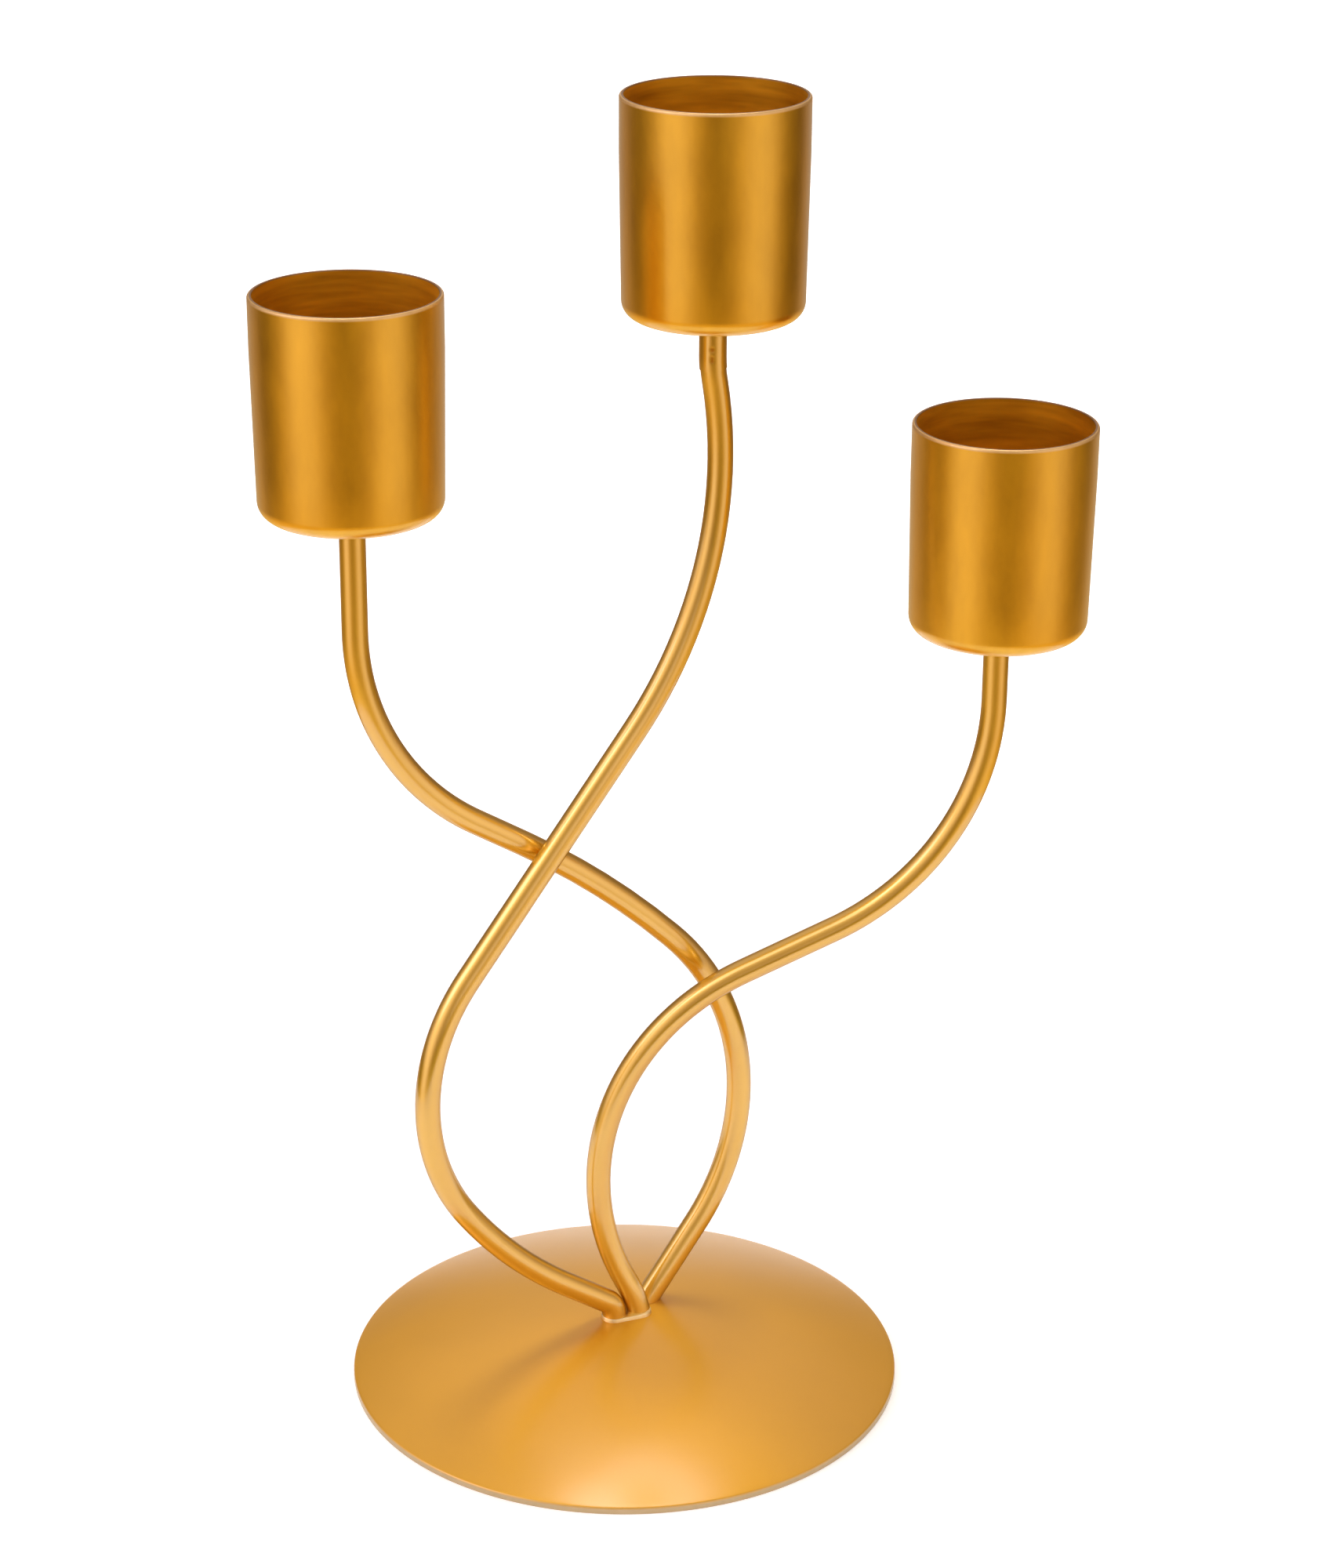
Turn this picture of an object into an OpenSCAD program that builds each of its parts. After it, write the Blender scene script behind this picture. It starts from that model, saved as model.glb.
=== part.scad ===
// Three-arm candle holder: a domed round dish, three bent steel rods that rise
// from its crown, and an open cup for a candle on the end of each rod.
// Millimetres, +Z up, origin on the floor under the middle of the dish.
// Headings and turns are in degrees. Within the upright plane of an arm, a heading
// of 0 points along the plane and 90 points straight up; a positive turn is
// counter-clockwise, seen from the front of the holder.

/* [Base dish] */
// Diameter of the dish
dish_d = 136; // [110:2:180]
// Height of the crown above the floor
dish_h = 14; // [10:0.5:20]
// Thickness of the sheet
dish_t = 2; // [1.6:0.1:2.6]
// Height of the upright cut edge
dish_edge_h = 1.6; // [1.2:0.1:2]
// Rounding of the upper corner of the cut edge
dish_edge_r = 0.6; // [0.3:0.1:0.9]

/* [Rods] */
// Diameter of the bent rods
rod_d = 6; // [5:0.5:8]
// Where the foot of the right arm stands on the dish, from its middle
right_foot = [3.4, 1.9]; // [-8:0.1:8]
// Free space between the feet of the left and right arms
left_foot_gap = 0.6; // [0.5:0.1:2]
// Free space between the feet of the tall and right arms
tall_foot_gap = 0.8; // [0.7:0.1:2]

/* [Tall arm] */
// Direction of the arm's plane, turned from +X
tall_azimuth = 27; // [26:0.5:34]
// Upright stub above the dish
tall_stub = 1; // [0.5:0.5:3]
// Radius of the tight bend at the foot
tall_root_r = 5; // [4:0.5:8]
// Turn of the tight bend at the foot
tall_root_turn = 55.5; // [50:0.5:60]
// Straight run that leans out from the foot
tall_lean_run = 13.5; // [5:0.5:30]
// Radius of the long bend that starts the bow
tall_low_bow_r = 105; // [80:1:130]
// Turn of the long bend that starts the bow
tall_low_bow_turn = -19.5; // [-25:0.5:-15]
// Radius of the bow at its widest place
tall_bow_r = 52; // [45:1:60]
// Turn of the bow at its widest place
tall_bow_turn = -74; // [-78:0.5:-70]
// Straight run across the holder
tall_cross_run = 70.5; // [50:0.5:90]
// Radius of the bend that lifts the arm again
tall_lift_r = 104; // [80:1:130]
// Turn of the bend that lifts the arm again
tall_lift_turn = 48; // [44:0.5:52]
// Radius of the last bend, which ends upright
tall_neck_r = 33; // [20:1:60]

/* [Left arm] */
// Direction of the arm's plane, turned from +X
left_azimuth = 23; // [18:0.5:24]
// Heading at the foot
left_start = 55; // [50:0.5:60]
// Straight run that leans out from the foot
left_lean_run = 23; // [10:1:35]
// Radius of the bow
left_bow_r = 63; // [55:1:75]
// Turn of the bow
left_bow_turn = 80; // [74:0.5:84]
// Radius of the long bend after the bow
left_sweep_r = 212; // [150:2:260]
// Turn of the long bend after the bow
left_sweep_turn = 13; // [8:0.5:18]
// Straight run across the holder
left_cross_run = 14; // [5:0.5:40]
// Radius of the last bend, which ends upright
left_neck_r = 60; // [45:1:80]
// Upright run under the cup
left_neck_run = 28; // [10:1:45]

/* [Right arm] */
// Direction of the arm's plane, turned from +X
right_azimuth = 5.5; // [0:0.5:10]
// Heading at the foot
right_start = 104; // [100:0.5:108]
// Straight stub above the dish
right_stub = 1; // [0.5:0.5:2]
// Radius of the bend at the foot
right_root_r = 36; // [30:1:45]
// Turn of the bend at the foot
right_root_turn = 12.5; // [10:0.5:15]
// Straight run that leans in after it
right_lean_run = 1.2; // [1:0.1:5]
// Radius of the bow
right_bow_r = 62; // [52:1:75]
// Turn of the bow
right_bow_turn = -91; // [-96:0.5:-84]
// Straight run across the holder
right_cross_run = 24; // [10:1:40]
// Radius of the last bend, which ends upright
right_neck_r = 65; // [45:1:80]
// Upright run under the cup
right_neck_run = 17; // [8:1:40]

/* [Candle cups] */
// Outer diameter at the mouth
cup_d = 43; // [36:0.5:50]
// Height of a cup
cup_h = 50.5; // [35:0.5:70]
// Thickness of the wall and the bottom
cup_t = 1; // [0.8:0.1:2]
// Depth of the straight mouth below the rounded lip
cup_mouth_l = 12; // [6:1:25]
// Lean of the wall below the straight mouth
cup_draft = 0.9; // [0.2:0.1:2]
// Outer rounding between the wall and the bottom
cup_corner_r = 3.9; // [2.5:0.1:8]

/* [Cup fixings] */
// Thread diameter of the screw in the bottom of each cup
screw_d = 3; // [2:0.5:3.5]
// Length of the screw under its head
screw_l = 8; // [6:1:14]
// Diameter of the pan head
screw_head_d = 5.6; // [5:0.1:7]
// Height of the pan head
screw_head_h = 2.4; // [1.8:0.1:3]
// Width of each slot of the cross recess
recess_w = 0.8; // [0.6:0.1:1]
// Span of the cross recess
recess_span = 3; // [2:0.1:4]
// Depth of the cross recess
recess_depth = 1.2; // [0.8:0.1:1.6]
// Diameter of the washer
washer_d = 7; // [6.5:0.5:12]
// Thickness of the washer
washer_t = 0.5; // [0.4:0.1:1]
// Free space round the screw in the washer and the cup
screw_gap = 0.1; // [0.05:0.05:0.3]
// Free space round the thread in the tapped hole
thread_gap = 0.05; // [0.05:0.05:0.1]
// Depth of the tapped hole past the end of the screw
tap_spare = 1; // [0.5:0.5:3]

/* [Neck ferrule] */
// Length of the straight neck under the tall cup, all of it inside the ferrule
ferrule_l = 9; // [7:0.5:20]
// Share of the neck's bend that the ferrule covers as well
ferrule_bend_share = 0.55; // [0.2:0.05:1]
// Thickness of its wall
ferrule_t = 0.35; // [0.3:0.05:1]
// Free space between the ferrule and the rod
ferrule_gap = 0.05; // [0.05:0.05:0.2]
// Radius of the punch that pressed the dimples
dimple_r = 0.8; // [0.6:0.1:1.2]
// Depth of a dimple
dimple_depth = 0.2; // [0.1:0.05:0.25]
// Distance from the cup to the first dimple
dimple_down = 7.1; // [3:0.1:7.5]
// Distance from the first dimple to the second
dimple_pitch = 2.8; // [2:0.1:3.5]
// Direction that the dimples face, turned from +X
dimple_azimuth = -93; // [-180:1:180]

/* [Foot weld] */
// Width of the weld lip round each foot
weld_w = 0.9; // [0.8:0.1:2]
// Height of the weld lip along the rod
weld_h = 0.9; // [0.5:0.1:2.5]

/* [Hidden] */

$fn = 96;
dome_fn = 240;
gold = [0.80, 0.58, 0.27];
gold_light = [0.87, 0.66, 0.36];
gold_deep = [0.66, 0.45, 0.18];
steel = [0.70, 0.70, 0.68];
past = 1; // how far a cut reaches past the face that it opens

rod_r = rod_d / 2;
dish_r = dish_d / 2;
cup_r = cup_d / 2;

// The dish is a shell between two spheres with one centre on the Z axis.
dish_rise = dish_h - dish_edge_h;
dome_r = (dish_r * dish_r + dish_rise * dish_rise) / (2 * dish_rise);
dome_z = dish_h - dome_r;

// Feet stand in a tight cluster, so each is placed from the right arm's foot.
left_foot_angle = 71.5;
tall_foot_angle = 207.5;
left_foot = right_foot + (rod_d + left_foot_gap) * heading(left_foot_angle);
tall_foot = right_foot + (rod_d + tall_foot_gap) * heading(tall_foot_angle);
tall_start = 90;
foot_reach = rod_d; // how far a rod is drawn down into the crown before it is cut
bend_gap = 1; // straight left between two bends that follow each other
bend_swell = 0.01; // a bend is this much thicker than a run, which therefore ends inside it
lap = 0.2; // how far the end of a run reaches into a bend

// Bend tables. A row is [straight run, radius of the bend after it, turn of that bend].
// The last turn of each is worked out, so that the rod ends upright.
tall_bends = end_upright(tall_start, [[tall_stub, tall_root_r, tall_root_turn],
                                      [tall_lean_run, tall_low_bow_r, tall_low_bow_turn],
                                      [bend_gap, tall_bow_r, tall_bow_turn],
                                      [tall_cross_run, tall_lift_r, tall_lift_turn]],
                         bend_gap, tall_neck_r);
left_bends = end_upright(left_start, [[left_lean_run, left_bow_r, left_bow_turn],
                                      [bend_gap, left_sweep_r, left_sweep_turn]],
                         left_cross_run, left_neck_r);
right_bends = end_upright(right_start, [[right_stub, right_root_r, right_root_turn],
                                        [right_lean_run, right_bow_r, right_bow_turn]],
                          right_cross_run, right_neck_r);

// Where each rod ends, which is where its cup stands.
tall_top = rod_end(tall_bends, ferrule_l, tall_foot, tall_azimuth, tall_start);
left_top = rod_end(left_bends, left_neck_run, left_foot, left_azimuth, left_start);
right_top = rod_end(right_bends, right_neck_run, right_foot, right_azimuth, right_start);
tops = [tall_top, left_top, right_top];

function heading(angle) = [cos(angle), sin(angle)];

function turn_sum(bends, i = 0) = i == len(bends) ? 0 : bends[i][2] + turn_sum(bends, i + 1);

// A bend table with one more row, which brings the rod upright.
function end_upright(start, bends, run, radius) =
    concat(bends, [[run, radius, 90 - start - turn_sum(bends)]]);

// Places in an arm's plane are [along, up, heading].
function after_run(at, run) = [at[0] + run * cos(at[2]), at[1] + run * sin(at[2]), at[2]];

function after_bend(at, radius, turn) =
    let (side = sign(turn) * radius, to = at[2] + turn)
    [at[0] + side * (sin(to) - sin(at[2])), at[1] + side * (cos(at[2]) - cos(to)), to];

function after_rows(bends, at, rows) =
    rows == 0 ? at
              : let (row = bends[rows - 1])
                after_bend(after_run(after_rows(bends, at, rows - 1), row[0]), row[1], row[2]);

function rod_start(start) = [0, dish_h, start];

function rod_end(bends, neck_run, foot, azimuth, start) =
    let (at = after_rows(bends, rod_start(start), len(bends)))
    [foot[0] + at[0] * cos(azimuth), foot[1] + at[0] * sin(azimuth), at[1] + neck_run];

echo(tops = tops, feet = [tall_foot, left_foot, right_foot]);

// Everything under the outer face of the dish.
module dome_fill() {
    translate([0, 0, dome_z]) sphere(r = dome_r, $fn = dome_fn);
}

// Lays a drawing made in the arm's plane (X along, Y up) over the arm's foot.
module in_arm_plane(foot, azimuth) {
    translate([foot[0], foot[1], 0]) rotate([90, 0, azimuth]) children();
}

// A straight run, lengthened by before at its start and by lap at its end.
module straight_run(at, run, before) {
    translate([at[0], at[1], 0]) rotate([0, 0, at[2]]) rotate([0, 90, 0])
        translate([0, 0, -before]) cylinder(r = rod_r, h = before + run + lap);
}

// A bend that carries any section drawn round [0, 0]. Of a clockwise bend, share is the
// part at its far end that is drawn.
module round_bend(at, radius, turn, share = 1) {
    side = sign(turn);
    first = side > 0 ? at[2] - 90 : at[2] + 90 + turn;
    translate([at[0] - side * radius * sin(at[2]), at[1] + side * radius * cos(at[2]), 0])
        rotate([0, 0, first])
            rotate_extrude(angle = abs(turn) * share) translate([radius, 0]) children();
}

// One bent rod. Its foot still reaches down into the crown, and its neck ends at top.
module bent_rod(bends, foot, azimuth, start, top, neck_run) {
    from = rod_start(start);
    in_arm_plane(foot, azimuth) for (i = [0 : len(bends) - 1]) {
        at = after_rows(bends, from, i);
        straight_run(at, bends[i][0], i == 0 ? foot_reach : lap);
        round_bend(after_run(at, bends[i][0]), bends[i][1], bends[i][2])
            circle(r = rod_r + bend_swell);
    }
    translate(top) translate([0, 0, -neck_run - lap]) cylinder(r = rod_r, h = neck_run + lap);
}

module tall_rod() {
    bent_rod(tall_bends, tall_foot, tall_azimuth, tall_start, tall_top, ferrule_l);
}

module left_rod() {
    bent_rod(left_bends, left_foot, left_azimuth, left_start, left_top, left_neck_run);
}

module right_rod() {
    bent_rod(right_bends, right_foot, right_azimuth, right_start, right_top, right_neck_run);
}

// A rod cut to the crown of the dish and tapped at its top for the cup's screw.
module arm(top) {
    hole_l = screw_l - washer_t - cup_t + tap_spare;
    difference() {
        children();
        dome_fill();
        translate(top - [0, 0, hole_l])
            cylinder(r = screw_d / 2 + thread_gap, h = hole_l + past, $fn = 48);
    }
}

module arm_tall() { color(gold) arm(tall_top) tall_rod(); }
module arm_left() { color(gold) arm(left_top) left_rod(); }
module arm_right() { color(gold) arm(right_top) right_rod(); }

module base_dish() {
    corner_x = dish_r - dish_edge_r;
    corner_out = dome_r - dish_edge_r;
    corner_z = dome_z + sqrt(corner_out * corner_out - corner_x * corner_x);
    lean = asin(corner_x / corner_out);
    color(gold) rotate_extrude($fn = dome_fn) intersection() {
        translate([0, dome_z]) difference() {
            circle(r = dome_r);
            circle(r = dome_r - dish_t);
        }
        union() {
            polygon([[0, 0], [dish_r, 0], [dish_r, corner_z], [corner_x, corner_z],
                     [corner_x + dish_h * sin(lean), corner_z + dish_h * cos(lean)],
                     [0, corner_z + dish_h * cos(lean)]]);
            translate([corner_x, corner_z]) circle(r = dish_edge_r, $fn = 48);
        }
    }
}

// A cone of weld metal round the foot of a rod, in line with the rod.
module weld_cone(foot, azimuth, start) {
    in_arm_plane(foot, azimuth) translate([0, dish_h, 0])
        rotate([0, 0, start]) translate([-foot_reach, 0, 0]) rotate([0, 90, 0]) {
            cylinder(r = rod_r + weld_w, h = foot_reach);
            translate([0, 0, foot_reach])
                cylinder(r1 = rod_r + weld_w, r2 = rod_r + weld_w / 4, h = weld_h);
        }
}

// Weld metal that fills the space between two feet.
module weld_filling(foot, next_foot) {
    middle = (foot + next_foot) / 2;
    translate([middle[0], middle[1], dish_h - foot_reach])
        cylinder(r = rod_r, h = foot_reach + weld_h / 2);
}

// The weld that joins the three feet to the crown and to each other.
module foot_weld() {
    color(gold_deep) difference() {
        union() {
            weld_cone(tall_foot, tall_azimuth, tall_start);
            weld_cone(left_foot, left_azimuth, left_start);
            weld_cone(right_foot, right_azimuth, right_start);
            weld_filling(tall_foot, right_foot);
            weld_filling(left_foot, right_foot);
        }
        dome_fill();
        tall_rod();
        left_rod();
        right_rod();
    }
}

// Half of the outline of a cup, filled, from its bottom at bottom_z to top_z.
module cup_outline(mouth_r, corner_r, bottom_z, top_z) {
    taper_top = cup_h - cup_t / 2 - cup_mouth_l;
    corner_z = bottom_z + corner_r;
    corner_x = mouth_r - (taper_top - corner_z) * tan(cup_draft) - corner_r / cos(cup_draft);
    polygon([[0, bottom_z], [corner_x, bottom_z],
             [corner_x + corner_r * cos(cup_draft), corner_z - corner_r * sin(cup_draft)],
             [mouth_r, taper_top], [mouth_r, top_z], [0, top_z]]);
    intersection() {
        translate([corner_x, corner_z]) circle(r = corner_r);
        translate([0, bottom_z]) square([mouth_r, corner_r]);
    }
}

// A drawn cup with a rounded lip and a screw hole in its bottom.
module cup(top) {
    lip_r = cup_t / 2;
    hole_r = screw_d / 2 + screw_gap;
    translate(top) rotate_extrude(convexity = 4) difference() {
        union() {
            difference() {
                cup_outline(cup_r, cup_corner_r, 0, cup_h - lip_r);
                cup_outline(cup_r - cup_t, cup_corner_r - cup_t, cup_t, cup_h);
            }
            translate([cup_r - lip_r, cup_h - lip_r]) circle(r = lip_r, $fn = 48);
        }
        translate([0, -past]) square([hole_r, cup_t + 2 * past]);
    }
}

module cup_tall() { color(gold_light) cup(tall_top); }
module cup_left() { color(gold_light) cup(left_top); }
module cup_right() { color(gold_light) cup(right_top); }

// Short sleeve on the neck of the tall arm, pressed on with two dimples. It covers the
// straight neck and follows the rod into the bend below it.
module neck_ferrule() {
    inner_r = rod_r + ferrule_gap;
    outer_r = inner_r + ferrule_t;
    last = len(tall_bends) - 1;
    bend = tall_bends[last];
    bend_from = after_run(after_rows(tall_bends, rod_start(tall_start), last), bend[0]);
    color(gold_light) difference() {
        union() {
            in_arm_plane(tall_foot, tall_azimuth)
                round_bend(bend_from, bend[1], bend[2], ferrule_bend_share) difference() {
                    circle(r = outer_r + bend_swell);
                    circle(r = inner_r - bend_swell);
                }
            translate(tall_top) difference() {
                translate([0, 0, -ferrule_l - lap]) cylinder(r = outer_r, h = ferrule_l + lap);
                translate([0, 0, -ferrule_l - lap - past])
                    cylinder(r = inner_r, h = ferrule_l + lap + 2 * past);
            }
        }
        translate(tall_top) for (down = [dimple_down, dimple_down + dimple_pitch])
            rotate([0, 0, dimple_azimuth])
                translate([outer_r + dimple_r - dimple_depth, 0, -down])
                    sphere(r = dimple_r, $fn = 48);
    }
}

module cup_washers() {
    color(steel) for (top = tops)
        translate(top + [0, 0, cup_t]) difference() {
            cylinder(r = washer_d / 2, h = washer_t);
            translate([0, 0, -past])
                cylinder(r = screw_d / 2 + screw_gap, h = washer_t + 2 * past, $fn = 48);
        }
}

// Pan-head screw, drawn with its head on the washer and its thread pointing down.
module cup_screw() {
    difference() {
        union() {
            translate([0, 0, -screw_l]) cylinder(r = screw_d / 2, h = screw_l, $fn = 48);
            cylinder(r1 = screw_head_d / 2, r2 = screw_head_d / 2 - screw_head_h / 4,
                     h = screw_head_h, $fn = 48);
        }
        for (turn = [0, 90])
            rotate([0, 0, turn]) translate([-recess_span / 2, -recess_w / 2, screw_head_h - recess_depth])
                cube([recess_span, recess_w, recess_depth + past]);
    }
}

module cup_screws() {
    color(steel) for (top = tops) translate(top + [0, 0, cup_t + washer_t]) cup_screw();
}

base_dish();
foot_weld();
arm_tall();
arm_left();
arm_right();
neck_ferrule();
cup_tall();
cup_left();
cup_right();
cup_washers();
cup_screws();
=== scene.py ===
from math import asin, cos, pi, radians, sin, sqrt, tan

import bmesh
import bpy
from mathutils import Matrix, Vector


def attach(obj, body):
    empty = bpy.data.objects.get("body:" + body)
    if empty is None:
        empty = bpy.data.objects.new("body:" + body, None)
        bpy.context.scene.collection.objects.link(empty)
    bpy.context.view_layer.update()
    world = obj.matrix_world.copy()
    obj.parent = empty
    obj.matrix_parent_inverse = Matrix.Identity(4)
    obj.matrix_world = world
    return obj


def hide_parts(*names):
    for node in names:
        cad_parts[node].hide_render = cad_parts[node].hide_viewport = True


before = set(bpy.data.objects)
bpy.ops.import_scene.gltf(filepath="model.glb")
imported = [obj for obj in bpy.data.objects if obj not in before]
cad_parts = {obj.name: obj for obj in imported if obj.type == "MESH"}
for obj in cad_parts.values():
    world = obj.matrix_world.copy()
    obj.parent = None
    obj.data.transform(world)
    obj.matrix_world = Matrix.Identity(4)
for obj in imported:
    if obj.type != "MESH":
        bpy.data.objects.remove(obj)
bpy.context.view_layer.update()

mm = 0.001
body = "root"             # the holder has no joints, so all of it is one body
scene = bpy.context.scene
scene.view_settings.view_transform = "Standard"
print("frame loaded:", ", ".join(sorted(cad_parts)))

# Camera: the photograph's viewing angle, for an image of 1704 x 2000
photoCamera = {
    "place": (10.0 * mm, -794.5 * mm, 483.0 * mm),
    "pitchDown": 22.27,   # degrees below level
    "roll": 0.37,         # degrees, right side up
    "lens": 83.6,         # mm, for the height of the sensor
    "sensorHeight": 36.0,
    "clipStart": 10.0 * mm,
}

cameraData = bpy.data.cameras.new("photoCamera")
cameraData.sensor_fit = "VERTICAL"
cameraData.sensor_height = photoCamera["sensorHeight"]
cameraData.lens = photoCamera["lens"]
cameraData.clip_start = photoCamera["clipStart"]
camera = bpy.data.objects.new("photoCamera", cameraData)
scene.collection.objects.link(camera)
pitch = Matrix.Rotation(radians(90 - photoCamera["pitchDown"]), 4, "X")
roll = Matrix.Rotation(radians(photoCamera["roll"]), 4, "Z")
camera.matrix_world = Matrix.Translation(photoCamera["place"]) @ pitch @ roll
scene.camera = camera
print("camera set")


# Shader helpers

# Gives a socket another node's output, a number, a vector, or a colour of three values
def feed(tree, socket, value):
    if isinstance(value, bpy.types.NodeSocket):
        tree.links.new(value, socket)
    else:
        socket.default_value = (*value, 1) if socket.type == "RGBA" else value


def feedAll(tree, node, inputs):
    for name, value in inputs.items():
        feed(tree, node.inputs[name], value)


def newNode(tree, kind, place, inputs=None, **settings):
    node = tree.nodes.new(kind)
    node.location = place
    for name, value in settings.items():
        setattr(node, name, value)
    feedAll(tree, node, inputs or {})
    return node


def mathNode(tree, operation, values, place):
    node = newNode(tree, "ShaderNodeMath", place, operation=operation)
    for socket, value in zip(node.inputs, values):
        feed(tree, socket, value)
    return node.outputs[0]


# Goes from the first value to the second as the share goes from 0 to 1
def mixNode(tree, kind, share, first, second, place):
    inputs = {"Factor": share, "A": first, "B": second}
    return newNode(tree, "ShaderNodeMix", place, inputs, data_type=kind).outputs["Result"]


# Goes from one target to the other as the value goes from start to end
def rangeNode(tree, value, start, end, place, targets=(0, 1), kind="LINEAR"):
    inputs = {"Value": value, "From Min": start, "From Max": end,
              "To Min": targets[0], "To Max": targets[1]}
    return newNode(tree, "ShaderNodeMapRange", place, inputs, interpolation_type=kind).outputs[0]


# 1 for a ray that comes off a shiny piece or through a clear one
def mirrorRays(tree, path, place):
    rays = (path.outputs["Is Glossy Ray"], path.outputs["Is Transmission Ray"])
    return mathNode(tree, "ADD", rays, place)


def newMaterial(name):
    material = bpy.data.materials.new(name)
    material.use_nodes = True
    tree = material.node_tree
    return material, tree, tree.nodes["Principled BSDF"]


def newGroup(name, inputs, outputs):
    group = bpy.data.node_groups.new(name, "ShaderNodeTree")
    for socketName, value in inputs.items():
        socket = group.interface.new_socket(socketName, in_out="INPUT", socket_type="NodeSocketFloat")
        socket.default_value = value
    for socketName in outputs:
        group.interface.new_socket(socketName, in_out="OUTPUT", socket_type="NodeSocketFloat")
    entry = newNode(group, "NodeGroupInput", (-900, 0))
    leave = newNode(group, "NodeGroupOutput", (500, 0))
    return group, entry, leave


# Soft clouds in the plating: a value round 0. Across below 1 draws them out to level rings,
# Along below 1 to upright streaks
cloudNoise = {"detail": 3.0, "roughness": 0.55, "middle": 0.5}


def makePlatingCloud():
    group, entry, leave = newGroup("platingCloud", {"Scale": 60.0, "Across": 1.0, "Along": 1.0}, ["Cloud"])
    coords = newNode(group, "ShaderNodeTexCoord", (-900, 200))
    across, along = entry.outputs["Across"], entry.outputs["Along"]
    drawn = newNode(group, "ShaderNodeCombineXYZ", (-800, -100), {"X": across, "Y": across, "Z": along})
    stretched = newNode(group, "ShaderNodeVectorMath", (-650, 200),
                        {0: coords.outputs["Object"], 1: drawn.outputs[0]}, operation="MULTIPLY")
    noise = newNode(group, "ShaderNodeTexNoise", (-450, 200), {
        "Vector": stretched.outputs[0], "Scale": entry.outputs["Scale"],
        "Detail": cloudNoise["detail"], "Roughness": cloudNoise["roughness"]})
    centred = mathNode(group, "SUBTRACT", (noise.outputs["Fac"], cloudNoise["middle"]), (-200, 200))
    feed(group, leave.inputs["Cloud"], centred)
    return group


# Fine grain of a blasted and plated surface, as a height. The coarse grain is coarseStep times larger
grainNoise = {"detail": 1.0, "coarseStep": 3, "coarseShare": 0.6}


def makeFineGrain():
    group, entry, leave = newGroup("fineGrain", {"Scale": 900.0, "Coarse Scale": 300.0}, ["Height"])
    coords = newNode(group, "ShaderNodeTexCoord", (-700, 200))
    fine, coarse = [
        newNode(group, "ShaderNodeTexNoise", (-450, y), {
            "Vector": coords.outputs["Object"], "Scale": entry.outputs[scaleName],
            "Detail": grainNoise["detail"]}).outputs["Fac"]
        for scaleName, y in (("Scale", 250), ("Coarse Scale", 0))]
    weighted = mathNode(group, "MULTIPLY", (coarse, grainNoise["coarseShare"]), (-200, 0))
    feed(group, leave.inputs["Height"], mathNode(group, "ADD", (fine, weighted), (50, 200)))
    return group


platingCloud = makePlatingCloud()
fineGrain = makeFineGrain()


# A look's colour, between its deep and its pale one by the clouds, and those clouds
def cloudedColour(tree, look, place):
    x, y = place
    clouds = newNode(tree, "ShaderNodeGroup", place, {
        "Scale": look["cloudScale"], "Across": look.get("cloudAcross", 1.0),
        "Along": look.get("cloudAlong", 1.0)}, node_tree=platingCloud).outputs["Cloud"]
    share = mathNode(tree, "MULTIPLY_ADD", (clouds, look["cloudColour"], cloudNoise["middle"]),
                     (x + 200, y + 100))
    return mixNode(tree, "RGBA", share, look["deepColour"], look["colour"], (x + 400, y + 100)), clouds


# The lacquer thins out towards the outline, so that a round bar keeps its darker edges
outline = {"blend": 0.5, "from": 0.55, "to": 0.95}


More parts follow.
